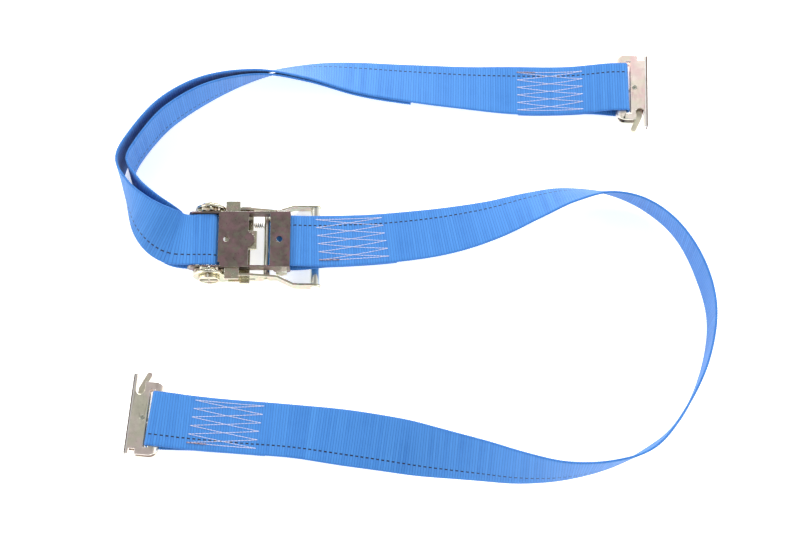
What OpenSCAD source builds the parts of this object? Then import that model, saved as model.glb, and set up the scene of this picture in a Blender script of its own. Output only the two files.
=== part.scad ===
// Ratchet tie down laid out at rest: a 2 inch polyester strap assembly with a ratchet
// buckle lying with its base upward, and a spring E-track fitting at each end.
// The origin is on the floor under the middle of the whole layout.

/* [Webbing] */
// Width of the webbing
web_w = 50.8; // [50:0.1:51]
// Thickness of the webbing
web_t = 2; // [1.6:0.1:2]
// Length of the doubled, stitched lap at each sewn end
lap_len = 108; // [90:1:120]

/* [Ratchet frame] */
// Clear width between the frame's side plates
frame_in_w = 51.8; // [51.8:0.1:53]
// Sheet thickness of the frame
frame_t = 1.8; // [1.8:0.1:2.2]
// Height of the spool axis above the floor
axis_z = 17.5; // [17.5:0.1:20]
// Height of the frame's crossplates above the spool axis
deck_z = 11.5; // [11.3:0.1:13]
// Distance from the spool axis to the anchor bolt
bolt_x = 68; // [66:0.5:70]
// Diameter of the anchor bolt
bolt_d = 7; // [6:0.1:7.5]
// Outer diameter of the sleeve on the anchor bolt
sleeve_d = 10; // [9:0.1:10]

/* [Spool and wheels] */
// Diameter of the split spool shaft
spool_d = 17; // [16:0.1:17]
// Slot between the two halves of the spool
slot_h = 3.4; // [3:0.1:3.6]
// Outer diameter of the ratchet wheels
wheel_d = 31; // [29:0.2:31]
// Thickness of each ratchet wheel
wheel_t = 2.6; // [2:0.1:2.8]
// Teeth on each ratchet wheel
teeth = 12; // [10:1:14]
// Radial clearance of the running fits
fit = 0.08; // [0.05:0.01:0.1]

/* [Handle] */
// Sheet thickness of the handle's side plates
handle_t = 2.2; // [1.8:0.1:2.2]
// Distance from the spool axis to the grip
grip_x = 99; // [96:1:104]
// Diameter of the grip tube
grip_d = 10; // [9:0.2:10.4]
// Outward step of the handle plates at the grip
flare = 6.4; // [4:0.2:7]

/* [End fittings] */
// Overall thickness of an end fitting
fit_h = 11.6; // [11:0.1:11.8]
// Sheet thickness of an end fitting
fit_t = 2.4; // [2:0.1:2.5]
// Length of an end fitting along its webbing bar
fit_len = 68.5; // [66:0.5:70]
// Angle of each latch lever's swing at rest
latch_a = 0; // [0:1:10]

/* [Hidden] */

zinc = [0.78, 0.76, 0.62];
dark_zinc = [0.45, 0.38, 0.38];
blue = [0.22, 0.50, 0.82];

// where the ratchet and the two fittings lie
ratchet_at = [-191, 15.5, axis_z];
upper_at = [211.2, 178.8, 8.2];
upper_turn = -2;
lower_at = [-241.4, -153.8, 8.2];
lower_turn = 175;

// positions across the ratchet, from its middle plane outward
side_in = frame_in_w / 2;
side_out = side_in + frame_t;
wheel_y = side_out + 0.7;
arm_y = wheel_y + wheel_t + 0.8;
arm_out = arm_y + handle_t;
collar_y = arm_out + 0.3;
collar_t = 3.2;
spool_end = collar_y + collar_t - 0.6;

spool_r = spool_d / 2;
wheel_r = wheel_d / 2;
bolt_z = 0.5;
deck_t = frame_t;
grip_z = -11.3;
tie_x = 53.5;
tie_z = -6;
lock_z = 8;
drive_z = -6.5;
plate_pawl = 3;

// end fitting, in its own frame: the webbing drops through the slot at x = 0
bar_x = -11.3;
hook_x = 19.5;
slot_x0 = -1.6;
slot_x1 = 3;
pivot_x = 6.7;
rivet_r = 2.2;
foot_y = -41;

// distance between the centre lines of two layers lying on each other
layer = web_t + 0.3;

// centre line of the webbing round the spool, the sleeve and a fitting's bar
wrap_r = spool_r + web_t / 2 + 0.3;
sleeve_fold = sleeve_d / 2 + web_t / 2 + 0.3;
bar_fold = fit_h / 2 + web_t / 2 + 0.3;

// ---------------------------------------------------------------- webbing routes
// Each station is [x, y, z, tilt]: the middle of the webbing and the angle between its
// width and the floor. 0 lies flat, 90 stands on the edge that carries the tracer.
// The ends sit on the sleeve, the spool and the bars of the two fittings.
fixed_route = [
    [-123, 15.5, axis_z + bolt_z + sleeve_fold, 0],
    [-112, 15.5, axis_z + bolt_z + sleeve_fold, 0], [-95, 15.5, 23, 0], [-65, 17, 20, 0],
    [-20, 21, 17, 5], [30, 28, 16, 10], [75, 38, 19, 25], [115, 50, 26, 40],
    [150, 59, 31, 55], [185, 62, 30, 70], [220, 51, 28, 80], [250, 25, 27, 85],
    [270, -15, 27, 90], [278, -60, 27, 90], [268, -110, 27, 90], [245, -155, 27, 90],
    [215, -185, 27, 100], [180, -200, 27, 95], [140, -206, 27, 85], [100, -203, 25, 70],
    [60, -195, 22, 55], [20, -187, 18, 40], [-20, -178, 11, 20], [-65, -170, 6, 10],
    [-110, -164, 5, 0], [-160, -160, 5, 0], [-205, -157, 10, 0], [-219, -156, 13, 0],
    [-231, -155, lower_at.z + bar_fold, 0], [lower_at.x + 2, -154, lower_at.z + bar_fold, 0]];

into_ratchet = [
    [upper_at.x - 2, 179, upper_at.z + bar_fold, 0], [201, 179, upper_at.z + bar_fold, 0],
    [190, 179, 14, 0], [155, 179, 6, 0], [110, 179, 5, 0], [60, 180, 8, 10],
    [0, 183, 13, 20], [-50, 187, 17, 30], [-100, 191, 23, 50], [-150, 189, 26, 70],
    [-200, 175, 27, 85], [-240, 150, 27, 90], [-268, 115, 27, 90], [-279, 88, 27, 90],
    [-270, 62, 28, 80], [-258, 42, 29, 60], [-244, 28, 29, 40], [-227, 18, 28, 15],
    [-214, 15.5, axis_z + wrap_r, 0], [-202, 15.5, axis_z + wrap_r, 0],
    [ratchet_at.x, 15.5, axis_z + wrap_r, 0]];

// The free end lies beside the main run, under and inside it, back to tail_end. It keeps
// the spool's distance round the loop and closes up to tail_lie along the far side.
tail_end = 1;
tail_lie = 3;
far_side = 100;
close_from = -240;
close_to = -120;

// ---------------------------------------------------------------- webbing functions
function unit(v) = v / norm(v);
function rough(a, b) = norm([b.x - a.x, b.y - a.y, b.z - a.z]);
function pick(p, i) = p[max(0, min(len(p) - 1, i))];
function spline_at(a, b, c, d, t) =
    0.5 * (2 * b + (c - a) * t + (2 * a - 5 * b + 4 * c - d) * t * t
        + (3 * b - a - 3 * c + d) * t * t * t);
function spline(p, gap) = [
    for (i = [0:len(p) - 2])
        let (n = max(1, round(rough(p[i], p[i + 1]) / gap)))
            for (k = [0:n - 1])
                spline_at(pick(p, i - 1), p[i], p[i + 1], pick(p, i + 2), k / n),
    p[len(p) - 1]];
function xyz(s) = [s.x, s.y, s.z];
function heading(q, i) = unit(xyz(pick(q, i + 1)) - xyz(pick(q, i - 1)));
function square_to(w, t) = unit(w - (w * t) * t);
// frame of one ring: [middle, width direction, face direction]
function ring_of(q, i, side, face) =
    let (t = heading(q, i), r = unit([t.y, -t.x, 0]) * side,
        w = square_to(cos(q[i][3]) * r + [0, 0, sin(q[i][3])], t))
    [xyz(q[i]), w, cross(t, w) * face];
function rings(q, side, face) = [for (i = [0:len(q) - 1]) ring_of(q, i, side, face)];
function turned(r) = [for (i = [len(r) - 1:-1:0]) r[i]];
function smooth(t) = let (c = max(0, min(1, t))) c * c * (3 - 2 * c);
// lower layer of a sewn lap, from its cut end back to the fold at ring 0
function under(r, fold_r, open) = [
    for (i = [len(r) - 1:-1:0])
        let (run = norm(r[i][0] - r[0][0]))
            if (run <= lap_len)
                [r[i][0] - r[i][2] * (layer + (2 * fold_r - layer) * (1 - smooth((run - 8) / (open - 8)))),
                    r[i][1], -r[i][2]]];
// fold over a bar: a rounded drop from the underside up to ring 0
function fold(r, fold_r, corner) =
    let (t = unit(r[0][0] - r[1][0]), n = r[0][2], c = r[0][0] - n * fold_r,
        s = fold_r - corner)
    [for (k = [-5:5])
        let (a = k * 90 / 6, far = (k > 0 ? s : k < 0 ? -s : 0))
            [c + n * (corner * sin(a) + far) + t * corner * cos(a), r[0][1],
                unit(n * sin(a) + t * cos(a))]];
function tail_gap(p) =
    p.y < far_side ? wrap_r
        : tail_lie + (wrap_r - tail_lie)
            * (1 - smooth((p.x - close_from) / (close_to - close_from)));
// free end of the webbing, from the slot back along a run to its cut end
function beside(r) = [
    for (i = [len(r) - 1:-1:0])
        if (r[i][0].x < tail_end)
            [r[i][0] - r[i][2] * tail_gap(r[i][0]), r[i][1], -r[i][2]]];
function corners(f, w, t) = [
    f[0] - f[1] * w / 2 - f[2] * t / 2, f[0] + f[1] * w / 2 - f[2] * t / 2,
    f[0] + f[1] * w / 2 + f[2] * t / 2, f[0] - f[1] * w / 2 + f[2] * t / 2];

// closed band through a list of rings, each with four corners
module band(f) {
    n = len(f);
    pts = [for (r = f) each corners(r, web_w, web_t)];
    sides = [for (i = [0:n - 2], k = [0:3])
        let (a = 4 * i + k, b = 4 * i + (k + 1) % 4) each [[a, b, b + 4], [a, b + 4, a + 4]]];
    e = 4 * (n - 1);
    caps = [[2, 1, 0], [3, 2, 0], [e, e + 1, e + 2], [e, e + 2, e + 3]];
    polyhedron(pts, concat(sides, caps), convexity = 12);
}

// ---------------------------------------------------------------- small shared shapes
module across(y0, y1, r, seg = 64) {
    translate([0, y0, 0]) rotate([-90, 0, 0]) cylinder(r = r, h = y1 - y0, $fn = seg);
}

// sheet standing in the XZ plane between y0 and y1
module upright(y0, y1) {
    translate([0, y1, 0]) rotate([90, 0, 0]) linear_extrude(y1 - y0) children();
}

module on_ratchet() {
    translate(ratchet_at) children();
}

module both_sides() {
    children();
    mirror([0, 1, 0]) children();
}

// coil of round wire along +Z from the origin
module coil(r, wire, length, turns) {
    seg = 14;
    n = turns * seg;
    pts = [for (i = [0:n], k = [0:5])
        let (a = i * 360 / seg, b = k * 60, q = r + wire / 2 * cos(b))
            [q * cos(a), q * sin(a), wire / 2 + (length - wire) * i / n + wire / 2 * sin(b)]];
    sides = [for (i = [0:n - 1], k = [0:5])
        let (a = 6 * i + k, b = 6 * i + (k + 1) % 6) each [[a, b + 6, b], [a, a + 6, b + 6]]];
    e = 6 * n;
    caps = [for (k = [1:4]) each [[0, k, k + 1], [e, e + k + 1, e + k]]];
    polyhedron(pts, concat(sides, caps), convexity = 10);
}

// ---------------------------------------------------------------- ratchet frame
module side_outline() {
    difference() {
        union() {
            intersection() {
                circle(r = 16, $fn = 64);
                translate([-20, -20]) square([40, 20 + deck_z]);
            }
            translate([-15, 1.2]) square([91.1, deck_z - 1.2]);
            translate([-15, (deck_z + 1.2) / 2]) circle(r = (deck_z - 1.2) / 2, $fn = 48);
            translate([bolt_x, bolt_z]) circle(r = 8, $fn = 48);
            translate([61, -4]) square([15.1, 8]);
        }
        circle(r = spool_r + fit, $fn = 64);
        translate([bolt_x, bolt_z]) circle(r = bolt_d / 2 + 0.05, $fn = 48);
        translate([13.6, lock_z - plate_pawl / 2 - 0.2]) square([24, plate_pawl + 0.4]);
    }
}

module front_deck() {
    difference() {
        translate([8.6, -side_out, deck_z - deck_t]) cube([28.2, 2 * side_out, deck_t]);
        translate([16, 0, 0]) cylinder(d = 5.6, h = 30, $fn = 48);
        translate([5.6, -side_out - 1, 0]) cube([5, 6, 30]);
    }
    // tab pressed down behind the deck, which the lock spring pushes against
    translate([36.2 - deck_t, -3.4, deck_z - 8]) cube([deck_t, 6.8, 8 - deck_t + 0.4]);
    translate([36, -7, deck_z - deck_t]) cube([2.5, 14, deck_t]);
    intersection() {
        translate([35.5, 0, deck_z - deck_t]) cylinder(r = 7, h = deck_t, $fn = 48);
        translate([35, -7, 0]) cube([8, 14, 30]);
    }
}

module rear_deck() {
    difference() {
        translate([57.4, -side_out, deck_z - deck_t]) cube([18.7, 2 * side_out, deck_t]);
        translate([66, 0, 0]) cylinder(d = 6, h = 30, $fn = 48);
    }
}

module frame() {
    color(dark_zinc)
        on_ratchet() {
            both_sides() upright(side_in, side_out) side_outline();
            front_deck();
            rear_deck();
        }
}

module hex_prism(af, h) {
    cylinder(d = af / cos(30), h = h, $fn = 6);
}

module anchor_bolt() {
    color(zinc)
        on_ratchet() translate([bolt_x, 0, bolt_z]) {
            across(-side_out - 0.2, side_out + 3.7, bolt_d / 2, 48);
            translate([0, -side_out, 0]) rotate([90, 30, 0]) hex_prism(10.5, 3.4);
        }
}

module anchor_nut() {
    color(zinc)
        on_ratchet() translate([bolt_x, 0, bolt_z])
            difference() {
                translate([0, side_out, 0]) rotate([-90, 30, 0]) hex_prism(10.5, 3.2);
                across(side_out - 1, side_out + 7, bolt_d / 2 + 0.02, 48);
            }
}

module anchor_sleeve() {
    color(zinc)
        on_ratchet() translate([bolt_x, 0, bolt_z])
            difference() {
                across(-side_in + 0.1, side_in - 0.1, sleeve_d / 2, 48);
                across(-side_in - 1, side_in + 1, bolt_d / 2 + 0.05, 48);
            }
}

// ---------------------------------------------------------------- lock pawl
module lock_outline() {
    difference() {
        union() {
            translate([14.8, -arm_out - 4.6]) square([13.6, 2 * arm_out + 9.2]);
            translate([14.8, -side_in + 0.4]) square([21.8, 2 * side_in - 0.8]);
            translate([34, -9.5]) square([10.6, 18.5]);
        }
        translate([20, -3.6]) square([21, 7.2]);
    }
}

module lock_pawl() {
    color(zinc)
        on_ratchet() translate([0, 0, lock_z - plate_pawl / 2])
            linear_extrude(plate_pawl) lock_outline();
}

module lock_spring() {
    color(zinc)
        on_ratchet() translate([20.2, 0, lock_z - 1.4]) rotate([0, 90, 0])
            coil(2.2, 0.8, 13.2, 7);
}

// ---------------------------------------------------------------- spool
module spool_half(up) {
    on_ratchet()
        difference() {
            across(-spool_end, spool_end, spool_r, 96);
            translate([-20, -50, up ? -20 + slot_h / 2 : -slot_h / 2]) cube([40, 100, 20]);
            both_sides() translate([0, collar_y + collar_t / 2, -20]) cylinder(r = 1.3, h = 40, $fn = 32);
        }
}

module spool_half_upper() {
    color(zinc) spool_half(true);
}

module spool_half_lower() {
    color(zinc) spool_half(false);
}

module ratchet_wheel() {
    root = wheel_r - 3.2;
    step = 360 / teeth;
    tooth = [for (i = [0:teeth - 1])
        let (a = i * step + 8)
            each [root * [cos(a), sin(a)], wheel_r * [cos(a + step * 0.5), sin(a + step * 0.5)],
                wheel_r * [cos(a + step * 0.72), sin(a + step * 0.72)],
                root * [cos(a + step * 0.8), sin(a + step * 0.8)]]];
    on_ratchet()
        upright(wheel_y, wheel_y + wheel_t)
            difference() {
                polygon(tooth);
                circle(r = spool_r + 0.03, $fn = 96);
            }
}

module ratchet_wheel_far() {
    color(zinc) ratchet_wheel();
}

module ratchet_wheel_near() {
    color(zinc) translate([0, 2 * ratchet_at.y, 0]) mirror([0, 1, 0]) ratchet_wheel();
}

module spool_collar(side) {
    on_ratchet() mirror([0, side, 0])
        difference() {
            across(collar_y, collar_y + collar_t, spool_r + 1.6, 64);
            across(collar_y - 1, collar_y + collar_t + 1, spool_r + 0.03, 96);
            translate([0, collar_y + collar_t / 2, -20]) cylinder(r = 1.3, h = 40, $fn = 32);
        }
}

module spool_collar_far() {
    color(zinc) spool_collar(0);
}

module spool_collar_near() {
    color(zinc) spool_collar(1);
}

module split_pin(side) {
    on_ratchet() mirror([0, side, 0])
        translate([0, collar_y + collar_t / 2, -spool_r - 3.2]) {
            cylinder(r = 1.2, h = 2 * spool_r + 5.8, $fn = 32);
            translate([0, 0, 2 * spool_r + 6.7]) rotate([0, 90, 0])
                rotate_extrude($fn = 32) translate([1.1, 0]) circle(r = 0.7, $fn = 24);
        }
}

module split_pin_far() {
    color(zinc) split_pin(0);
}

module split_pin_near() {
    color(zinc) split_pin(1);
}

// ---------------------------------------------------------------- handle
module arm_outline() {
    difference() {
        union() {
            circle(r = 15.5, $fn = 64);
            polygon([[0, -15.5], [24, -13.2], [60, -11], [84, grip_z - 5.8],
                [grip_x, grip_z - 5.8], [grip_x, -5.6], [84, -5.6], [60, 0], [36, 5.4],
                [13, 5.6], [0, 5.6]]);
            translate([grip_x, grip_z]) circle(r = 5.8, $fn = 48);
        }
        circle(r = spool_r + fit, $fn = 96);
        translate([grip_x, grip_z]) circle(r = 3.05, $fn = 48);
        translate([tie_x, tie_z]) circle(r = 2.55, $fn = 48);
        translate([16.6, drive_z - plate_pawl / 2 - 0.2]) square([26.4, plate_pawl + 0.4]);
    }
}

module arm_plan() {
    polygon([[-30, arm_y], [64, arm_y], [79, arm_y + flare], [120, arm_y + flare],
        [120, arm_out + flare], [78.4, arm_out + flare], [63.4, arm_out], [-30, arm_out]]);
}

module handle_plate() {
    intersection() {
        upright(arm_y - 1, arm_out + flare + 1) arm_outline();
        translate([0, 0, -40]) linear_extrude(80) arm_plan();
    }
}

module handle_plate_far() {
    color(zinc) on_ratchet() handle_plate();
}

module handle_plate_near() {
    color(zinc) on_ratchet() mirror([0, 1, 0]) handle_plate();
}

module handle_tie() {
    color(zinc)
        on_ratchet() translate([tie_x, 0, tie_z]) {
            across(-arm_y, arm_y, 3.4, 48);
            both_sides() across(arm_y - 1, arm_out + 1, 2.5, 48);
        }
}

module grip_tube() {
    color(zinc)
        on_ratchet() translate([grip_x, 0, grip_z])
            difference() {
                across(-arm_y - flare, arm_y + flare, grip_d / 2, 64);
                across(-60, 60, 3.2, 48);
            }
}

module grip_rivet() {
    color(zinc)
        on_ratchet() translate([grip_x, 0, grip_z]) {
            across(-arm_out - flare - 0.2, arm_out + flare + 0.2, 3, 48);
            both_sides() translate([0, arm_out + flare, 0]) rotate([-90, 0, 0])
                rotate_extrude($fn = 48) polygon([[0, 0], [4.2, 0], [4.2, 0.5], [3.2, 1.4], [0, 1.8]]);
        }
}

// ---------------------------------------------------------------- drive pawl
module drive_outline() {
    translate([17.4, -arm_out - 2.6]) square([11, 2 * arm_out + 5.2]);
    translate([28, -arm_out - 4.4]) square([9.6, 2 * arm_out + 8.8]);
    translate([37, 10]) square([3, 20]);
}

module drive_pawl() {
    color(zinc)
        on_ratchet() translate([0, 0, drive_z - plate_pawl / 2])
            linear_extrude(plate_pawl)
                difference() {
                    drive_outline();
                    translate([14, -side_in + 4]) square([10, 2 * side_in - 8]);
                }
}

module drive_spring() {
    color(zinc)
        on_ratchet() translate([40.2, 20, drive_z]) rotate([0, 90, 0])
            coil(2.2, 0.8, 9.6, 5);
}

// ---------------------------------------------------------------- webbing
module fixed_strap() {
    up = rings(spline(fixed_route, 12), 1, -1);
    down = turned(up);
    r = sleeve_fold;
    color(blue)
        band(concat(under(up, r, 46), fold(up, r, r), up, turned(fold(down, bar_fold, 2)),
            turned(under(down, bar_fold, 44))));
}

module adjustable_strap() {
    main = rings(spline(into_ratchet, 12), -1, 1);
    lip = [sqrt(spool_r * spool_r - slot_h * slot_h / 4), 0, slot_h / 2];
    bend = web_t / 2 + 0.3;
    over = [for (a = [75:-15:30])
        [ratchet_at + wrap_r * [cos(a), 0, sin(a)], [0, 1, 0], [cos(a), 0, sin(a)]]];
    into = [for (a = [12:-25:-88])
        [ratchet_at + lip + bend * [cos(a), 0, sin(a)], [0, 1, 0], [cos(a), 0, sin(a)]]];
    color(blue)
        band(concat(under(main, bar_fold, 44), fold(main, bar_fold, 2), main, over, into,
            beside(main)));
}

// ---------------------------------------------------------------- end fittings
module on_upper() {
    translate(upper_at) rotate([0, 0, upper_turn]) children();
}

module on_lower() {
    translate(lower_at) rotate([0, 0, lower_turn]) children();
}

module fitting_plan() {
    low = -34;
    r = 9;
    difference() {
        union() {
            translate([bar_x + r, low]) square([hook_x - bar_x - r, fit_len]);
            translate([bar_x, low + r]) square([r + 1, fit_len - 2 * r]);
            translate([bar_x + r, low + r]) circle(r = r, $fn = 64);
            translate([bar_x + r, low + fit_len - r]) circle(r = r, $fn = 64);
            translate([15.6, foot_y]) square([hook_x - 15.6, 10]);
        }
        translate([slot_x0, -27.5]) square([slot_x1 - slot_x0, 55]);
        translate([9.8, low + fit_len - 5]) square([6.4, 10]);
        translate([12, low + 8]) circle(r = 4.2, $fn = 48);
        translate([7.8, low - 20]) square([8.4, 28]);
        translate([pivot_x, 0]) circle(r = rivet_r + 0.03, $fn = 48);
    }
}

module fitting_sheet() {
    half = fit_h / 2;
    translate([bar_x + half, -60, half - fit_t]) cube([hook_x - bar_x - half, 120, fit_t]);
    translate([bar_x + half, -60, -half]) cube([hook_x - bar_x - half - 3, 120, fit_t]);
    translate([hook_x - fit_t, -60, -half + 3]) cube([fit_t, 120, 2 * half - 3]);
    difference() {
        translate([bar_x + half, 0, 0]) across(-60, 60, half, 64);
        translate([bar_x + half, 0, 0]) across(-61, 61, half - fit_t, 64);
        translate([bar_x + half, -62, -20]) cube([40, 124, 40]);
    }
}

module fitting_body() {
    intersection() {
        fitting_sheet();
        translate([0, 0, -20]) linear_extrude(40) fitting_plan();
    }
}

module fitting_rivet() {
    half = fit_h / 2;
    difference() {
        translate([pivot_x, 0, -half - 0.4]) cylinder(r = rivet_r, h = 2 * half + 0.8, $fn = 48);
        translate([pivot_x, 0, half - 1.6]) cylinder(r = 1.1, h = 4, $fn = 32);
    }
}

module latch_outline() {
    difference() {
        union() {
            translate([pivot_x, 0]) circle(r = 4.6, $fn = 48);
            polygon([[9.4, -3], [3.6, -3], [9, -24], [9.2, -28], [3.6, -41.5], [8.6, -42.5],
                [14.4, -29], [14.6, -24]]);
            translate([6.1, -42]) circle(r = 2.55, $fn = 32);
        }
        translate([pivot_x, 0]) circle(r = rivet_r + fit, $fn = 48);
    }
}

module fitting_latch() {
    translate([pivot_x, 0, -3]) rotate([0, 0, latch_a]) translate([-pivot_x, 0, 0])
        linear_extrude(3.4) latch_outline();
}

module fitting_spring() {
    translate([pivot_x, 0, 0.6]) coil(3, 0.7, 2.6, 3);
}

module upper_fitting_body() {
    color(zinc) on_upper() fitting_body();
}

module upper_fitting_rivet() {
    color(zinc) on_upper() fitting_rivet();
}

module upper_fitting_latch() {
    color(zinc) on_upper() fitting_latch();
}

module upper_fitting_spring() {
    color(zinc) on_upper() fitting_spring();
}

module lower_fitting_body() {
    color(zinc) on_lower() fitting_body();
}

module lower_fitting_rivet() {
    color(zinc) on_lower() fitting_rivet();
}

module lower_fitting_latch() {
    color(zinc) on_lower() fitting_latch();
}

module lower_fitting_spring() {
    color(zinc) on_lower() fitting_spring();
}

frame();
anchor_bolt();
anchor_nut();
anchor_sleeve();
lock_pawl();
lock_spring();
spool_half_upper();
spool_half_lower();
ratchet_wheel_near();
ratchet_wheel_far();
spool_collar_near();
spool_collar_far();
split_pin_near();
split_pin_far();
handle_plate_near();
handle_plate_far();
handle_tie();
grip_tube();
grip_rivet();
drive_pawl();
drive_spring();
fixed_strap();
adjustable_strap();
upper_fitting_body();
upper_fitting_rivet();
upper_fitting_latch();
upper_fitting_spring();
lower_fitting_body();
lower_fitting_rivet();
lower_fitting_latch();
lower_fitting_spring();
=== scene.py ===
import math

import bmesh
import bpy
import numpy as np
from mathutils import Matrix, Vector


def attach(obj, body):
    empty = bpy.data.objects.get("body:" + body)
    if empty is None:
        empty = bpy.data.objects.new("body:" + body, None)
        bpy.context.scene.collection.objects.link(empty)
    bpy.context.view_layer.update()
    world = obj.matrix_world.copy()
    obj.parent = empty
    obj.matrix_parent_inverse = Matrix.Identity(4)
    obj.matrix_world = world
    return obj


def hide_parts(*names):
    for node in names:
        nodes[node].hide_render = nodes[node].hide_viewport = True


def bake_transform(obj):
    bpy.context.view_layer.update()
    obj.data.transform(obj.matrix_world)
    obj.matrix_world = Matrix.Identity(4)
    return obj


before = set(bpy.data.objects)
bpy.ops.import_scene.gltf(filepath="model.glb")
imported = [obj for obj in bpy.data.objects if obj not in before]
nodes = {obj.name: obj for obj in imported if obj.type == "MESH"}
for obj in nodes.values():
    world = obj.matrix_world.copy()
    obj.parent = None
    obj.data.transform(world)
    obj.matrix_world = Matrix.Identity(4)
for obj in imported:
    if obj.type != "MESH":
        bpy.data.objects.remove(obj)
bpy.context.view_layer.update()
scene = bpy.context.scene

MM = 0.001
AXIS = np.array([-191.0, 15.5, 17.5])      # spool axis
UPPER = (np.array([211.2, 178.8, 8.2]), -2.0)
LOWER = (np.array([-241.4, -153.8, 8.2]), 175.0)
WEB_W, WEB_T = 50.8, 2.0
LAP = 108.0
RIB = 2.45

# ------------------------------------------------------------------ camera
PITCH = math.radians(71)
DIST = 1.7
look = Vector((-0.0115, -0.002, 0.0))
cam = bpy.data.objects.new("camera", bpy.data.cameras.new("camera"))
scene.collection.objects.link(cam)
cam.location = look + Vector((0, -DIST * math.cos(PITCH), DIST * math.sin(PITCH)))
cam.rotation_euler = (math.pi / 2 - PITCH, 0, 0)
cam.data.sensor_width = 36
cam.data.lens = 80.3
cam.data.clip_end = 20
scene.camera = cam

# ------------------------------------------------------------------ node helpers
class Nodes:
    """Short-hand for building one shader tree."""

    def __init__(self, tree):
        self.tree = tree
        tree.nodes.clear()

    def add(self, kind, **props):
        n = self.tree.nodes.new(kind)
        for k, v in props.items():
            setattr(n, k, v)
        return n

    def feed(self, socket, value):
        if isinstance(value, bpy.types.NodeSocket):
            self.tree.links.new(value, socket)
        elif isinstance(value, (tuple, list)) and len(value) == 3 and socket.type == "RGBA":
            socket.default_value = (*value, 1)
        else:
            socket.default_value = value

    def math(self, op, a, b=None, c=None):
        n = self.add("ShaderNodeMath", operation=op)
        for i, v in enumerate((a, b, c)):
            if v is not None:
                self.feed(n.inputs[i], v)
        return n.outputs[0]

    def mix(self, fac, a, b, blend="MIX"):
        n = self.add("ShaderNodeMix", data_type="RGBA", blend_type=blend)
        self.feed(n.inputs[0], fac)
        self.feed(n.inputs[6], a)
        self.feed(n.inputs[7], b)
        return n.outputs[2]

    def noise(self, vec, scale, detail=3, rough=0.5, out=0):
        n = self.add("ShaderNodeTexNoise")
        if vec is not None:
            self.feed(n.inputs["Vector"], vec)
        n.inputs["Scale"].default_value = scale
        n.inputs["Detail"].default_value = detail
        n.inputs["Roughness"].default_value = rough
        return n.outputs[out]

    def ramp(self, fac, stops, interp="LINEAR"):
        n = self.add("ShaderNodeValToRGB")
        cr = n.color_ramp
        cr.interpolation = interp
        while len(cr.elements) < len(stops):
            cr.elements.new(0.5)
        for e, (p, c) in zip(cr.elements, stops):
            e.position = p
            e.color = (*c, 1) if len(c) == 3 else c
        self.feed(n.inputs[0], fac)
        return n.outputs[0]

    def span(self, v, a, b, lo=0.0, hi=1.0, kind="LINEAR"):
        n = self.add("ShaderNodeMapRange", interpolation_type=kind)
        self.feed(n.inputs[0], v)
        for i, x in zip((1, 2, 3, 4), (a, b, lo, hi)):
            n.inputs[i].default_value = x
        return n.outputs[0]

    def stretch(self, vec, scale, rotation=(0, 0, 0)):
        n = self.add("ShaderNodeMapping")
        self.feed(n.inputs[0], vec)
        n.inputs["Scale"].default_value = scale
        n.inputs["Rotation"].default_value = rotation
        return n.outputs[0]

    def bump(self, height, strength, distance, normal=None):
        n = self.add("ShaderNodeBump")
        n.inputs["Strength"].default_value = strength
        n.inputs["Distance"].default_value = distance
        self.feed(n.inputs["Height"], height)
        if normal is not None:
            self.feed(n.inputs["Normal"], normal)
        return n.outputs[0]

    def finish(self, **inputs):
        p = self.add("ShaderNodeBsdfPrincipled")
        for k, v in inputs.items():
            self.feed(p.inputs[k.replace("_", " ")], v)
        out = self.add("ShaderNodeOutputMaterial")
        self.tree.links.new(p.outputs[0], out.inputs[0])
        return p


def material(name):
    m = bpy.data.materials.new(name)
    m.use_nodes = True
    return m, Nodes(m.node_tree)


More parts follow.
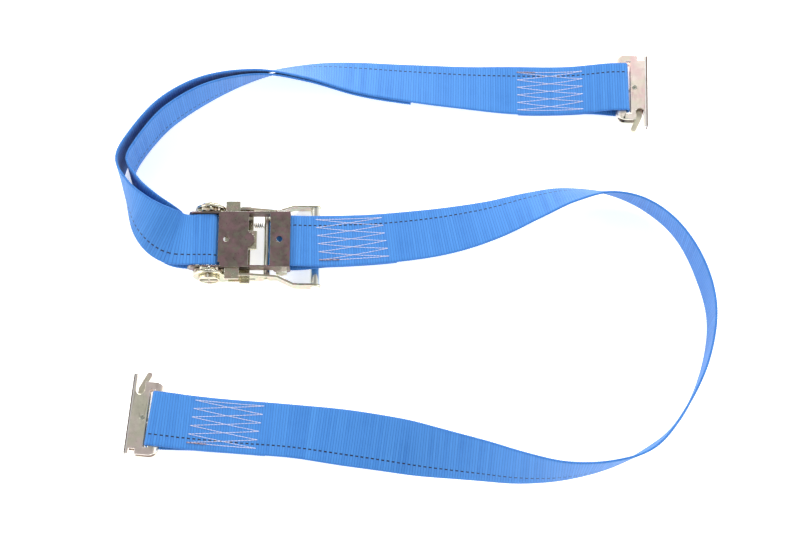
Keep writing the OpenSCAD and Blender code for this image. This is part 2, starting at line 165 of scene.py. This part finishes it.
# ------------------------------------------------------------------ materials
def webbing_material():
    m, n = material("webbing")
    uv = n.add("ShaderNodeUVMap", uv_map="UVMap").outputs[0]
    sep = n.add("ShaderNodeSeparateXYZ")
    n.feed(sep.inputs[0], uv)
    s, v = sep.outputs[0], sep.outputs[1]          # along in units of 100 mm, across 0..1 and 2..3
    along = n.math("MULTIPLY", s, 100.0)           # mm
    side = n.math("GREATER_THAN", v, 1.5)
    across = n.math("MULTIPLY", n.math("SUBTRACT", v, n.math("MULTIPLY", side, 2.0)), WEB_W)
    rib = n.math("DIVIDE", along, RIB)
    rib_wave = n.math("ABSOLUTE", n.math("SINE", n.math("MULTIPLY", rib, math.pi)))
    odd = n.math("MULTIPLY", n.math("MODULO", n.math("FLOOR", rib), 2.0), 0.5)
    # warp floats: each rib is crossed by slanted ends, staggered from rib to rib
    slant = n.math("MULTIPLY", n.math("FRACT", rib), 0.22)
    ends = n.math("ADD", n.math("ADD", n.math("MULTIPLY", across, 1.02), odd), slant)
    end_wave = n.math("ABSOLUTE", n.math("SINE", n.math("MULTIPLY", ends, math.pi)))
    fibre_vec = n.add("ShaderNodeCombineXYZ")
    n.feed(fibre_vec.inputs[0], n.math("MULTIPLY", along, 0.35))
    n.feed(fibre_vec.inputs[1], n.math("MULTIPLY", across, 5.0))
    n.feed(fibre_vec.inputs[2], side)
    fibre = n.noise(fibre_vec.outputs[0], 1.6, 2, 0.6)
    patch_vec = n.add("ShaderNodeCombineXYZ")
    n.feed(patch_vec.inputs[0], n.math("MULTIPLY", along, 0.02))
    n.feed(patch_vec.inputs[1], n.math("MULTIPLY", across, 0.04))
    n.feed(patch_vec.inputs[2], side)
    patch = n.noise(patch_vec.outputs[0], 1.0, 3, 0.6)
    # some ribs are a little paler than others, as the weft beat varies
    rib_id = n.add("ShaderNodeTexWhiteNoise", noise_dimensions="1D")
    n.feed(rib_id.inputs["W"], n.math("FLOOR", rib))
    base = n.mix(n.span(rib_id.outputs[0], 0, 1, 0.0, 1.0), (0.034, 0.185, 0.540), (0.058, 0.250, 0.640))
    base = n.mix(n.span(patch, 0.35, 0.7), base, (0.050, 0.228, 0.615))
    # painted shade: the colour darkens in the crevice between two ribs, where shade falls
    painted_rib_crevice_shade = n.span(rib_wave, 0.02, 0.55, 1.0, 0.0, "SMOOTHSTEP")
    col = n.mix(n.math("MULTIPLY", painted_rib_crevice_shade, 0.62), base, (0.012, 0.070, 0.290))
    # painted shade: the gaps between the warp ends are darkened
    gap = n.span(end_wave, 0.0, 0.45, 1.0, 0.0, "SMOOTHSTEP")
    col = n.mix(n.math("MULTIPLY", gap, 0.30), col, (0.015, 0.090, 0.360))
    col = n.mix(n.math("MULTIPLY", n.span(fibre, 0.5, 0.75), 0.25), col, (0.17, 0.43, 0.83))
    # selvedge: the last 1.3 mm is a tight darker cord
    edge = n.math("ABSOLUTE", n.math("SUBTRACT", across, WEB_W / 2))
    selv = n.span(edge, WEB_W / 2 - 1.7, WEB_W / 2 - 0.9, 0.0, 1.0, "SMOOTHSTEP")
    col = n.mix(n.math("MULTIPLY", selv, 0.30), col, (0.030, 0.140, 0.480))
    # black tracer: one dash every two ribs on the outer face
    face = n.math("SUBTRACT", 1.0, side)
    wob = n.span(n.noise(fibre_vec.outputs[0], 0.5, 1), 0.3, 0.7, -0.12, 0.12)
    off = n.math("ABSOLUTE", n.math("ADD", n.math("SUBTRACT", across, WEB_W * 0.2), wob))
    line = n.math("LESS_THAN", off, 0.62)
    dash = n.math("LESS_THAN", n.math("FRACT", n.math("DIVIDE", along, 2 * RIB)), 0.56)
    tracer = n.math("MULTIPLY", n.math("MULTIPLY", line, dash), face)
    col = n.mix(tracer, col, (0.008, 0.010, 0.022))
    height = n.math("ADD", n.math("MULTIPLY", end_wave, 0.55), n.math("MULTIPLY", fibre, 0.35))
    normal = n.bump(height, 0.55, 0.00022)
    rough = n.span(fibre, 0.3, 0.8, 0.62, 0.85)
    p = n.finish(Base_Color=col, Roughness=rough, Normal=normal)
    p.inputs["Sheen Weight"].default_value = 0.18
    p.inputs["Sheen Roughness"].default_value = 0.45
    p.inputs["Specular IOR Level"].default_value = 0.32
    return m


def thread_material():
    m, n = material("stitch_thread")
    uv = n.add("ShaderNodeUVMap", uv_map="UVMap").outputs[0]
    sep = n.add("ShaderNodeSeparateXYZ")
    n.feed(sep.inputs[0], uv)
    twist = n.math("SINE", n.math("MULTIPLY", n.math("ADD", n.math("MULTIPLY", sep.outputs[0], 190.0),
                                                   sep.outputs[1]), 2 * math.pi))
    tc = n.add("ShaderNodeTexCoord").outputs["Object"]
    tint = n.noise(tc, 90, 2)
    col = n.mix(n.span(twist, -1, 1), (0.47, 0.50, 0.74), (0.80, 0.80, 0.93))
    col = n.mix(n.math("MULTIPLY", n.span(tint, 0.5, 0.75), 0.45), col, (0.78, 0.62, 0.60))
    p = n.finish(Base_Color=col, Roughness=0.6, Normal=n.bump(twist, 0.5, 0.0001))
    p.inputs["Sheen Weight"].default_value = 0.2
    return m


def knot_material():
    m, n = material("knot_thread")
    tc = n.add("ShaderNodeTexCoord").outputs["Object"]
    col = n.mix(n.span(n.noise(tc, 900, 3), 0.4, 0.62), (0.42, 0.36, 0.44), (0.10, 0.035, 0.025))
    n.finish(Base_Color=col, Roughness=0.7, Normal=n.bump(n.noise(tc, 2600, 2), 0.6, 0.0002))
    return m


def zinc_material(name, a, b, c, rough=(0.22, 0.42), film=0.5, grain=(1, 1, 1), scale=1.0, fold=None):
    """Zinc plate with a chromate film: three tints that drift into each other over a few
    centimetres, rolled grain, fine scratches and small dull spots. fold is ((x, y), turn, at) of
    a plate whose outer flange, past that local x, is bent down: a painted highlight line along the bend and
    painted shade on the flange."""
    m, n = material(name)
    tc = n.add("ShaderNodeTexCoord").outputs["Object"]
    big = n.noise(tc, 26 * scale, 3, 0.5)
    drift = n.noise(n.stretch(tc, (1, 1, 1), (0.7, 0.3, 0.2)), 48 * scale, 4, 0.6)
    col = n.mix(n.span(big, 0.40, 0.60, 0, 1, "SMOOTHSTEP"), a, b)
    col = n.mix(n.math("MULTIPLY", n.span(drift, 0.46, 0.62, 0, 1, "SMOOTHSTEP"), film), col, c)
    fine = n.noise(n.stretch(tc, grain), 1100, 3, 0.6)
    col = n.mix(n.math("MULTIPLY", n.span(fine, 0.3, 0.7), 0.30), col, (0.85, 0.83, 0.78), "SOFT_LIGHT")
    blot = n.noise(tc, 330, 4, 0.7)
    col = n.mix(n.span(blot, 0.62, 0.80, 0, 0.35), col, (0.16, 0.13, 0.11))
    if fold:
        (fx, fy), turn, at = fold
        sep = n.add("ShaderNodeSeparateXYZ")
        n.feed(sep.inputs[0], tc)
        c_, s_ = math.cos(math.radians(turn)), math.sin(math.radians(turn))
        lx = n.math("ADD", n.math("MULTIPLY", n.math("SUBTRACT", sep.outputs[0], fx * MM), c_),
                    n.math("MULTIPLY", n.math("SUBTRACT", sep.outputs[1], fy * MM), s_))
        # painted highlight along the bend, then painted shade on the bent flange past it
        col = n.mix(n.span(lx, (at - 1.1) * MM, (at - 0.5) * MM, 0, 1, "SMOOTHSTEP"), col, (0.92, 0.90, 0.86))
        col = n.mix(n.span(lx, at * MM, (at + 0.5) * MM, 0, 1, "SMOOTHSTEP"), col, (0.17, 0.10, 0.085))
    scratch = n.noise(n.stretch(tc, (30, 700, 300), (0.1, 0.2, 0.5)), 3.0, 2, 0.7)
    r = n.span(n.math("ADD", n.math("MULTIPLY", blot, 0.6), n.math("MULTIPLY", fine, 0.4)), 0.3, 0.7, *rough)
    h = n.math("ADD", n.math("MULTIPLY", fine, 0.5), n.math("MULTIPLY", scratch, 0.5))
    p = n.finish(Base_Color=col, Roughness=r, Normal=n.bump(h, 0.16, 0.00014))
    p.inputs["Metallic"].default_value = 1.0
    return m


MAT = {
    "webbing": webbing_material(),
    "thread": thread_material(),
    "knot": knot_material(),
    # painted reflection: the frame's chromate tints are darkened to stand for the dark surroundings its decks
    # mirror
    "dark_zinc": zinc_material("dark_zinc", (0.215, 0.160, 0.150), (0.290, 0.185, 0.195), (0.235, 0.245, 0.180),
                               rough=(0.24, 0.42), film=0.55, grain=(2, 0.4, 1), scale=3.0),
    # painted highlight: a near-white copy of the zinc, put on the bevelled edges
    "painted_edge_highlight_zinc": zinc_material("painted_edge_highlight_zinc", (0.88, 0.88, 0.74), (0.90, 0.86, 0.80), (0.80, 0.88, 0.70),
                               rough=(0.16, 0.30), film=0.5, scale=3.0),
    "yellow_zinc": zinc_material("yellow_zinc", (0.66, 0.62, 0.44), (0.54, 0.56, 0.42), (0.70, 0.44, 0.42),
                                 rough=(0.16, 0.32), film=0.55, scale=3.0),
    "fitting_zinc": zinc_material("fitting_zinc", (0.78, 0.73, 0.56), (0.80, 0.64, 0.60), (0.68, 0.72, 0.52),
                                  rough=(0.26, 0.44), film=0.6, scale=1.0),
    "upper_zinc": zinc_material("upper_zinc", (0.86, 0.76, 0.68), (0.86, 0.62, 0.60), (0.76, 0.76, 0.58),
                                rough=(0.28, 0.44), film=0.6, scale=1.0, fold=(UPPER[0][:2], UPPER[1], 17.9)),
    "lower_zinc": zinc_material("lower_zinc", (0.80, 0.76, 0.62), (0.86, 0.72, 0.66), (0.70, 0.70, 0.52),
                                rough=(0.26, 0.42), film=0.55, scale=1.2, fold=(LOWER[0][:2], LOWER[1], 18.2)),
    "bright_zinc": zinc_material("bright_zinc", (0.86, 0.86, 0.76), (0.76, 0.79, 0.68), (0.78, 0.68, 0.66),
                                 rough=(0.10, 0.24), film=0.35, scale=2.0),
    "spring_steel": zinc_material("spring_steel", (0.62, 0.56, 0.40), (0.42, 0.42, 0.38), (0.60, 0.40, 0.26),
                                  rough=(0.2, 0.34), film=0.5, scale=4.0),
}

# ------------------------------------------------------------------ webbing path
WRAP, SLEEVE_FOLD, BAR_FOLD = 9.8, 6.3, 7.1    # centre line round the spool, the sleeve and a bar
ON_SLEEVE = AXIS[2] + 0.5 + SLEEVE_FOLD
ON_BAR = UPPER[0][2] + BAR_FOLD
ON_SPOOL = AXIS[2] + WRAP
FIXED = [
    [-123, 15.5, ON_SLEEVE, 0], [-112, 15.5, ON_SLEEVE, 0], [-95, 15.5, 23, 0], [-65, 17, 20, 0],
    [-20, 21, 17, 5], [30, 28, 16, 10], [75, 38, 19, 25], [115, 50, 26, 40],
    [150, 59, 31, 55], [185, 62, 30, 70], [220, 51, 28, 80], [250, 25, 27, 85],
    [270, -15, 27, 90], [278, -60, 27, 90], [268, -110, 27, 90], [245, -155, 27, 90],
    [215, -185, 27, 100], [180, -200, 27, 95], [140, -206, 27, 85], [100, -203, 25, 70],
    [60, -195, 22, 55], [20, -187, 18, 40], [-20, -178, 11, 20], [-65, -170, 6, 10],
    [-110, -164, 5, 0], [-160, -160, 5, 0], [-205, -157, 10, 0], [-219, -156, 13, 0],
    [-231, -155, ON_BAR, 0], [LOWER[0][0] + 2, -154, ON_BAR, 0]]
INTO = [
    [UPPER[0][0] - 2, 179, ON_BAR, 0], [201, 179, ON_BAR, 0],
    [190, 179, 14, 0], [155, 179, 6, 0], [110, 179, 5, 0], [60, 180, 8, 10],
    [0, 183, 13, 20], [-50, 187, 17, 30], [-100, 191, 23, 50], [-150, 189, 26, 70],
    [-200, 175, 27, 85], [-240, 150, 27, 90], [-268, 115, 27, 90], [-279, 88, 27, 90],
    [-270, 62, 28, 80], [-258, 42, 29, 60], [-244, 28, 29, 40], [-227, 18, 28, 15],
    [-214, 15.5, ON_SPOOL, 0], [-202, 15.5, ON_SPOOL, 0], [AXIS[0], 15.5, ON_SPOOL, 0]]
TAIL_END, TAIL_LIE, FAR_SIDE = 1, 3, 100       # where the free end stops, and how close it lies
CLOSE_FROM, CLOSE_TO = -240, -120


def unit(v):
    return v / np.linalg.norm(v)


def spline(points, gap):
    p = np.array(points, float)
    ends = np.vstack([p[:1], p, p[-1:]])
    out = []
    for i in range(len(p) - 1):
        a, b, c, d = ends[i], ends[i + 1], ends[i + 2], ends[i + 3]
        count = max(1, round(np.linalg.norm(c[:3] - b[:3]) / gap))
        t = (np.arange(count) / count)[:, None]
        out.append(0.5 * (2 * b + (c - a) * t + (2 * a - 5 * b + 4 * c - d) * t**2
                          + (3 * b - a - 3 * c + d) * t**3))
    return np.vstack(out + [p[-1:]])


def rings(points, side, face, gap=3.0):
    """A webbing path as rings (centre, width direction, face direction)."""
    q = spline(points, gap)
    ahead = np.vstack([q[1:], q[-1:]])[:, :3]
    behind = np.vstack([q[:1], q[:-1]])[:, :3]
    out = []
    for here, a, b in zip(q, ahead, behind):
        t = unit(a - b)
        r = unit(np.array([t[1], -t[0], 0])) * side
        tilt = math.radians(here[3])
        w = math.cos(tilt) * r + np.array([0, 0, math.sin(tilt)])
        w = unit(w - (w @ t) * t)
        out.append((here[:3], w, np.cross(t, w) * face))
    return out


def smooth(t):
    t = min(1, max(0, t))
    return t * t * (3 - 2 * t)


def under(run, fold_r, opening):
    """The return lap sewn below a run, from its free end to the fold."""
    out, far = [], 0
    last = run[0][0]
    for p, w, n in run:
        far = far + np.linalg.norm(p - last)
        last = p
        if far > LAP:
            break
        gap = 2.3 + (2 * fold_r - 2.3) * (1 - smooth((far - 8) / (opening - 8)))
        out.append((p - n * gap, w, -n))
    return out[::-1]


def beside(run):
    """The free end beside the main run, from the slot back to its cut end."""
    out = []
    for p, w, n in run[::-1]:
        if p[0] >= TAIL_END:
            break
        closed = smooth((p[0] - CLOSE_FROM) / (CLOSE_TO - CLOSE_FROM)) if p[1] >= FAR_SIDE else 0
        out.append((p - n * (TAIL_LIE + (WRAP - TAIL_LIE) * (1 - closed)), w, -n))
    return out


def fold(run, fold_r, corner):
    t = unit(run[0][0] - run[1][0])
    n = run[0][2]
    centre = run[0][0] - n * fold_r
    out = []
    for k in range(-10, 11):
        a = math.radians(k * 7.5)
        far = (fold_r - corner) * (k > 0) - (fold_r - corner) * (k < 0)
        if k == 0:
            far = 0
        out.append((centre + n * (corner * math.sin(a) + far) + t * corner * math.cos(a),
                    run[0][1], unit(n * math.sin(a) + t * math.cos(a))))
    return out


up = rings(FIXED, 1, -1)
down = up[::-1]
fixed_path = (under(up, SLEEVE_FOLD, 46) + fold(up, SLEEVE_FOLD, SLEEVE_FOLD) + up
              + fold(down, BAR_FOLD, 2)[::-1] + under(down, BAR_FOLD, 44)[::-1])
main = rings(INTO, -1, 1)
tail = beside(main)
Y = np.array([0, 1.0, 0])


def round_spool(centre, radius, angles):
    out = []
    for a in angles:
        d = np.array([math.cos(math.radians(a)), 0, math.sin(math.radians(a))])
        out.append((centre + radius * d, Y, d))
    return out


lip = AXIS + np.array([math.sqrt(8.5**2 - 1.7**2), 0, 1.7])
wrap = round_spool(AXIS, WRAP, range(82, 29, -7)) + round_spool(lip, 1.3, range(12, -89, -20))
adjust_path = under(main, BAR_FOLD, 44) + fold(main, BAR_FOLD, 2) + main + wrap + tail


def resample(path, step):
    """Rings at an even step along the path, with the running length of each."""
    p = np.array([r[0] for r in path])
    w = np.array([r[1] for r in path])
    n = np.array([r[2] for r in path])
    run = np.concatenate([[0], np.cumsum(np.linalg.norm(np.diff(p, axis=0), axis=1))])
    keep = np.concatenate([[True], np.diff(run) > 1e-6])
    p, w, n, run = p[keep], w[keep], n[keep], run[keep]
    count = int(round(run[-1] / step))
    at = np.linspace(0, run[-1], count + 1)
    # Hermite through the rings, so that the webbing has no facets between them
    slope = np.gradient(p, run, axis=0)
    i = np.clip(np.searchsorted(run, at, side="right") - 1, 0, len(run) - 2)
    h = (run[i + 1] - run[i])[:, None]
    t = (at - run[i])[:, None] / h
    q = ((2 * t**3 - 3 * t**2 + 1) * p[i] + (t**3 - 2 * t**2 + t) * h * slope[i]
         + (3 * t**2 - 2 * t**3) * p[i + 1] + (t**3 - t**2) * h * slope[i + 1])
    mix = lambda a: a[i] * (1 - t) + a[i + 1] * t
    w = mix(w)
    n = mix(n)
    w /= np.linalg.norm(w, axis=1, keepdims=True)
    n -= (n * w).sum(1, keepdims=True) * w
    n /= np.linalg.norm(n, axis=1, keepdims=True)
    return q, w, n, at


# section of the webbing: across runs from the tracer edge (-1) to the other (+1)
COLS = 22
HALF_T = WEB_T / 2
section = []                                     # (across in mm, out in mm, v, rib weight)
for k in range(COLS + 1):
    a = -WEB_W / 2 + 0.7 + (WEB_W - 1.4) * k / COLS
    section.append((a, HALF_T, (a + WEB_W / 2) / WEB_W, 1.0))
for k in range(1, 4):
    b = math.pi / 2 - math.pi * k / 4
    section.append((WEB_W / 2 - 0.7 + 0.7 * math.cos(b), HALF_T * math.sin(b), 0.995, 0.6))
for k in range(COLS + 1):
    a = WEB_W / 2 - 0.7 - (WEB_W - 1.4) * k / COLS
    section.append((a, -HALF_T, 2 + (a + WEB_W / 2) / WEB_W, 1.0))
for k in range(1, 4):
    b = -math.pi / 2 - math.pi * k / 4
    section.append((-WEB_W / 2 + 0.7 + 0.7 * math.cos(b), HALF_T * math.sin(b), 0.005, 0.6))
section = np.array(section)


def strap_mesh(name, q, w, n, at):
    ribs = np.abs(np.sin(np.pi * at / RIB))                        # 1 on a rib, 0 between two
    rows, cols = len(at), len(section)
    a, out, v, weight = section.T
    lift = (ribs[:, None] - 0.55) * 0.30 * weight[None, :]
    scallop = (ribs[:, None] - 0.5) * 0.34 * (np.abs(a)[None, :] > WEB_W / 2 - 0.75)
    across = a[None, :] + np.sign(a)[None, :] * scallop
    away = out[None, :] + np.sign(out)[None, :] * lift * 0.6
    # slow unevenness of worn webbing: the edges wander a little
    drift = 0.25 * np.sin(at / 31.0) + 0.15 * np.sin(at / 12.7 + 1.3)
    across = across + drift[:, None] * (np.abs(a)[None, :] / (WEB_W / 2)) ** 4 * np.sign(a)[None, :]
    pts = q[:, None, :] + w[:, None, :] * across[..., None] + n[:, None, :] * away[..., None]
    verts = (pts.reshape(-1, 3) * MM)
    r = np.arange(rows - 1)[:, None] * cols
    c = np.arange(cols)[None, :]
    c2 = (c + 1) % cols
    quads = np.stack([r + c, r + c2, r + cols + c2, r + cols + c], -1).reshape(-1, 4)
    mesh = bpy.data.meshes.new(name)
    faces = quads.tolist()
    faces.append(list(range(cols))[::-1])
    faces.append(list(range((rows - 1) * cols, rows * cols)))
    mesh.from_pydata(verts.tolist(), [], faces)
    # UV: u along in hundredths of a metre times ten, v across, backs two higher
    layer = mesh.uv_layers.new(name="UVMap")
    vi = np.empty(len(mesh.loops), int)
    mesh.loops.foreach_get("vertex_index", vi)
    u = np.repeat(at / 100, cols)
    vv = np.tile(v, rows)
    uvs = np.stack([u[vi], vv[vi]], 1)
    layer.data.foreach_set("uv", uvs.ravel())
    mesh.shade_smooth()
    obj = bpy.data.objects.new(name, mesh)
    scene.collection.objects.link(obj)
    obj.data.materials.append(MAT["webbing"])
    # make sure the faces look outward
    bm = bmesh.new()
    bm.from_mesh(mesh)
    bmesh.ops.recalc_face_normals(bm, faces=bm.faces)
    bm.to_mesh(mesh)
    bm.free()
    mesh.shade_smooth()
    return obj


STEP = RIB / 4
fixed = resample(fixed_path, STEP)
adjust = resample(adjust_path, STEP)


def cut(run, a, b):
    return tuple(x[a:b + 1] for x in run)


strap = strap_mesh("webbing_fixed", *fixed)
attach(strap, "frame")
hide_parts("fixed_strap")

# the adjustable strap is three pieces that share their end rings: the part at the spool is not attached to the
# frame
x = adjust[0][:, 0]
y = adjust[0][:, 1]
near = np.where((x > -226) & (np.abs(y - 15.5) < 20))[0]
first, last = near[0], near[-1]
parts = {
    "webbing_long_run": cut(adjust, 0, first),
    "webbing_at_spool": cut(adjust, first, last),
    "webbing_tail": cut(adjust, last, len(x) - 1),
}
for name, run in parts.items():
    strap = strap_mesh(name, *run)
    if name == "webbing_at_spool":
        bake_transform(strap)
    else:
        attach(strap, "frame")
    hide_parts("adjustable_strap")


# ------------------------------------------------------------------ stitching
def at_length(run, s, across, out):
    """The point on a strap at a running length (mm), across (mm from the middle) and out of its face."""
    q, w, n, at = run
    k = float(np.interp(s, at, np.arange(len(at))))
    i = int(min(len(at) - 2, k))
    t = k - i
    p = q[i] * (1 - t) + q[i + 1] * t
    wn = w[i] * (1 - t) + w[i + 1] * t
    nn = n[i] * (1 - t) + n[i + 1] * t
    return p + wn * across + nn * out


def tube(points, radius, sides=7):
    """Vertices and faces of a round thread through the points."""
    p = np.array(points)
    d = np.gradient(p, axis=0)
    d /= np.linalg.norm(d, axis=1, keepdims=True)
    ref = np.array([0.31, 0.17, 0.93])
    a = np.cross(d, ref)
    a /= np.linalg.norm(a, axis=1, keepdims=True)
    b = np.cross(d, a)
    ang = np.arange(sides) / sides * 2 * math.pi
    rings_ = p[:, None] + radius[:, None, None] * (a[:, None] * np.cos(ang)[None, :, None]
                                                  + b[:, None] * np.sin(ang)[None, :, None])
    v = rings_.reshape(-1, 3)
    f = []
    for i in range(len(p) - 1):
        for k in range(sides):
            k2 = (k + 1) % sides
            f.append((i * sides + k, i * sides + k2, (i + 1) * sides + k2, (i + 1) * sides + k))
    f.append(tuple(range(sides))[::-1])
    f.append(tuple((len(p) - 1) * sides + k for k in range(sides)))
    return v, f


rng = np.random.default_rng(7)


def stitch_box(name, run, s0, s1, first_row, lean, face):
    """A box of zigzag stitching between running lengths s0 (the L side) and s1 (the R side).
    first_row is the side of the webbing (-1 or 1) nearest row 1."""
    row = [first_row * (21.3 - 8.1 * k) for k in range(6)]
    L = [(s0 + lean * k / 5, r) for k, r in enumerate(row)]
    R = [(s1 + lean * k / 5, r) for k, r in enumerate(row)]
    path = [L[5], R[5], L[4], R[3], L[2], R[1], L[0], R[0], L[1], R[2], L[3], R[4], L[5]]
    verts, faces, kverts, kfaces = [], [], [], []
    for j, ((sa, ya), (sb, yb)) in enumerate(zip(path, path[1:])):
        length = math.hypot(sb - sa, yb - ya)
        count = max(3, round(length / 3.05))
        for k in range(count):
            wob = rng.normal(0, 0.10, 2)
            pts, rad = [], []
            knot = j == 0 and k < 6
            for m in range(9):
                t = m / 8
                f = (k + 0.5 + (t - 0.5) * (0.98 if not knot else 1.05)) / count
                rise = math.sin(math.pi * t) ** 0.55
                out = face * (HALF_T + 0.02 - 0.30 + 0.52 * rise + (0.25 * rise if knot else 0))
                pts.append(at_length(run, sa + (sb - sa) * f, ya + (yb - ya) * f + wob[0] * 0.5, out))
                rad.append((0.34 if not knot else 0.62) * (0.55 + 0.45 * rise))
            v, fc = tube(pts, np.array(rad))
            tv, tf = (kverts, kfaces) if knot else (verts, faces)
            base = sum(len(x) for x in tv)
            tv.append(v)
            tf.extend(tuple(i + base for i in q) for q in fc)
    for kind, tv, tf in (("thread", verts, faces), ("knot", kverts, kfaces)):
        mesh = bpy.data.meshes.new(name + "_" + kind)
        mesh.from_pydata((np.vstack(tv) * MM).tolist(), [], tf)
        mesh.uv_layers.new(name="UVMap")
        mesh.shade_smooth()
        obj = bpy.data.objects.new(name + "_" + kind, mesh)
        scene.collection.objects.link(obj)
        mesh.materials.append(MAT[kind])
        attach(obj, "frame")


def run_at(path_run, ring):
    """Running length of the ring nearest a point."""
    d = np.linalg.norm(path_run[0] - np.array(ring), axis=1)
    return float(path_run[3][int(d.argmin())])


# the fold of each lap, as a running length on its strap; boxes start where the lap closes
s_sleeve = run_at(fixed, FIXED[0][:3])
s_lower = run_at(fixed, FIXED[-1][:3])
s_upper = run_at(adjust, INTO[0][:3])
for spot, run, s0, s1, row, lean in (
    ("ratchet", fixed, s_sleeve + 32, s_sleeve + 97, -1, 2.5),
    ("lower", fixed, s_lower - 38, s_lower - 102, 1, 4.0),
    ("upper", adjust, s_upper + 107, s_upper + 42, 1, 0.0),
):
    stitch_box("stitch_" + spot, run, s0, s1, row, lean, 1)

# ------------------------------------------------------------------ metal
def soften(obj, width, angle=32):
    weld = obj.modifiers.new("weld", "WELD")
    weld.merge_threshold = 0.00002
    bevel = obj.modifiers.new("bevel", "BEVEL")
    bevel.width = width
    bevel.segments = 2
    bevel.limit_method = "ANGLE"
    bevel.angle_limit = math.radians(angle)
    bevel.use_clamp_overlap = True
    # the bevel faces take slot 1, the painted edge highlight
    bevel.material = 1
    bevel.harden_normals = False
    normals = obj.modifiers.new("normals", "WEIGHTED_NORMAL")
    normals.keep_sharp = True


FINISH = {
    "frame": ("dark_zinc", 0.45), "anchor_bolt": ("bright_zinc", 0.25), "anchor_nut": ("bright_zinc", 0.25),
    "anchor_sleeve": ("bright_zinc", 0.2), "lock_pawl": ("yellow_zinc", 0.25),
    "lock_spring": ("spring_steel", 0), "spool_half_upper": ("yellow_zinc", 0.2),
    "spool_half_lower": ("yellow_zinc", 0.2), "ratchet_wheel_near": ("yellow_zinc", 0.2),
    "ratchet_wheel_far": ("yellow_zinc", 0.2), "spool_collar_near": ("yellow_zinc", 0.25),
    "spool_collar_far": ("yellow_zinc", 0.25), "split_pin_near": ("spring_steel", 0),
    "split_pin_far": ("spring_steel", 0), "handle_plate_near": ("yellow_zinc", 0.3),
    "handle_plate_far": ("yellow_zinc", 0.3), "handle_tie": ("bright_zinc", 0.2),
    "grip_tube": ("bright_zinc", 0.3), "grip_rivet": ("bright_zinc", 0.2),
    "drive_pawl": ("yellow_zinc", 0.25), "drive_spring": ("spring_steel", 0),
    "upper_fitting_body": ("fitting_zinc", 0.45), "upper_fitting_rivet": ("bright_zinc", 0.2),
    "upper_fitting_latch": ("fitting_zinc", 0.25), "upper_fitting_spring": ("spring_steel", 0),
    "lower_fitting_body": ("fitting_zinc", 0.45), "lower_fitting_rivet": ("bright_zinc", 0.2),
    "lower_fitting_latch": ("fitting_zinc", 0.25), "lower_fitting_spring": ("spring_steel", 0),
}
for key, (finish, width) in FINISH.items():
    obj = nodes[key]
    obj.data.materials.clear()
    if key.endswith("fitting_body"):
        obj.data.materials.append(MAT[key[:5] + "_zinc"])
    else:
        obj.data.materials.append(MAT[finish])
    # slot 1: painted highlight for the bevelled edges
    obj.data.materials.append(MAT["painted_edge_highlight_zinc"])
    if width:
        soften(obj, width * MM)
    else:
        obj.data.shade_smooth()

# ------------------------------------------------------------------ floor and light
floor = bpy.data.objects.new("floor", bpy.data.meshes.new("floor"))
floor.data.from_pydata([(-8, -8, 0), (8, -8, 0), (8, 8, 0), (-8, 8, 0)], [], [(0, 1, 2, 3)])
scene.collection.objects.link(floor)
fmat, fn = material("paper")
tex = fn.add("ShaderNodeTexCoord").outputs["Object"]
grain = fn.noise(tex, 300, 3)
fn.finish(Base_Color=fn.mix(fn.span(grain, 0.3, 0.7), (0.93, 0.93, 0.93), (0.96, 0.96, 0.96)), Roughness=0.9, Emission_Color=(1.0, 1.0, 1.0), Emission_Strength=0.55)
floor.data.materials.append(fmat)

world = bpy.data.worlds.new("studio")
scene.world = world
world.use_nodes = True
wt = world.node_tree
wt.nodes.clear()
bg = wt.nodes.new("ShaderNodeBackground")
wc = wt.nodes.new("ShaderNodeTexCoord")
ws = wt.nodes.new("ShaderNodeSeparateXYZ")
wt.links.new(wc.outputs["Generated"], ws.inputs[0])
wr = wt.nodes.new("ShaderNodeValToRGB")
stops = wr.color_ramp.elements
stops[0].position, stops[0].color = 0.0, (1.0, 1.0, 1.0, 1)
stops[1].position, stops[1].color = 0.97, (0.30, 0.30, 0.31, 1)
for place, value in ((0.55, 1.0), (0.80, 0.62)):
    stop = stops.new(place)
    stop.color = (value, value, value, 1)
wt.links.new(ws.outputs[2], wr.inputs[0])
wt.links.new(wr.outputs[0], bg.inputs[0])
bg.inputs[1].default_value = 1.0
wo = wt.nodes.new("ShaderNodeOutputWorld")
wt.links.new(bg.outputs[0], wo.inputs[0])


def area(name, at, aim, size, power, shape="RECTANGLE"):
    light = bpy.data.lights.new(name, "AREA")
    light.shape = shape
    light.size, light.size_y = size
    light.energy = power
    obj = bpy.data.objects.new(name, light)
    scene.collection.objects.link(obj)
    obj.location = at
    obj.rotation_euler = (Vector(aim) - Vector(at)).to_track_quat("-Z", "Y").to_euler()
    return obj


area("key", (0.3, 2.2, 1.3), (0, 0, 0), (2.6, 0.9), 62)
area("fill", (-2.2, 0.2, 1.1), (0, 0, 0), (0.8, 1.8), 20)
area("strip", (2.2, -0.4, 1.0), (0, 0, 0), (0.6, 1.6), 16)
area("front", (0.0, -2.3, 1.0), (0, 0, 0), (2.2, 0.6), 14)

scene.view_settings.view_transform = "Standard"
scene.view_settings.look = "None"
scene.view_settings.exposure = 0.0
scene.view_settings.gamma = 1.0
